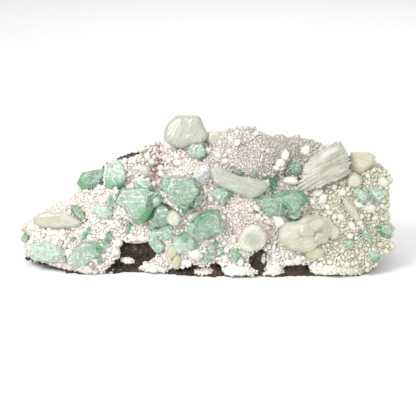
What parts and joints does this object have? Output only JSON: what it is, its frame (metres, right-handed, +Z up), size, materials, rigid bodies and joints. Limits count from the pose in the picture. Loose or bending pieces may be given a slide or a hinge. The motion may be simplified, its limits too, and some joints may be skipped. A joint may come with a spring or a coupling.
{
  "type": "mineral specimen",
  "caption": "Hand-sized mineral specimen: green apophyllite prisms and cream stilbite blades on a white heulandite crust over a broken basalt block with a flat foot",
  "frame": {"origin": "under the middle of the specimen's box, on the plane that it stands on", "axes": "+X to the right along the specimen's length as seen from its crystal face, +Y away from that viewer into the basalt, +Z up"},
  "size_m": [0.2012, 0.0754, 0.0779],
  "materials": {
    "basalt": "rough broken dark brown basalt",
    "heulandite": "sparkling white to pink druse of small crystals",
    "apophyllite": "see-through mint green crystal with white veils",
    "clear_apophyllite": "nearly colourless see-through crystal",
    "stilbite": "pearly cream crystal with fine lengthwise lines"
  },
  "bodies": {
    "root": {"apophyllite_behind_centre": "apophyllite", "apophyllite_below_ledge": "apophyllite", "apophyllite_beside_sheaf": "apophyllite", "apophyllite_button": "apophyllite", "apophyllite_clear": "clear_apophyllite", "apophyllite_crest": "apophyllite", "apophyllite_diagonal": "apophyllite", "apophyllite_facing": "apophyllite", "apophyllite_far_right_pale": "apophyllite", "apophyllite_foot_centre": "apophyllite", "apophyllite_foot_far_left": "apophyllite", "apophyllite_foot_left": "apophyllite", "apophyllite_foot_mint": "apophyllite", "apophyllite_large_centre": "apophyllite", "apophyllite_large_left": "apophyllite", "apophyllite_ledge": "apophyllite", "apophyllite_left_upright": "apophyllite", "apophyllite_left_wing": "apophyllite", "apophyllite_right_edge": "apophyllite", "apophyllite_right_low": "apophyllite", "apophyllite_right_pair": "apophyllite", "apophyllite_right_pale": "apophyllite", "apophyllite_small_centre": "apophyllite", "apophyllite_small_left": "apophyllite", "basalt_matrix": "basalt", "heulandite_crust": "heulandite", "stilbite_below_wedge": "stilbite", "stilbite_block_centre": "stilbite", "stilbite_block_left": "stilbite", "stilbite_bud_crest": "stilbite", "stilbite_curved_blade": "stilbite", "stilbite_fan_crest": "stilbite", "stilbite_left_blade": "stilbite", "stilbite_lobed": "stilbite", "stilbite_right_sliver": "stilbite", "stilbite_sheaf": "stilbite", "stilbite_shield": "stilbite", "stilbite_twin_foot": "stilbite", "stilbite_wedge": "stilbite"}
  },
  "joints": []
}
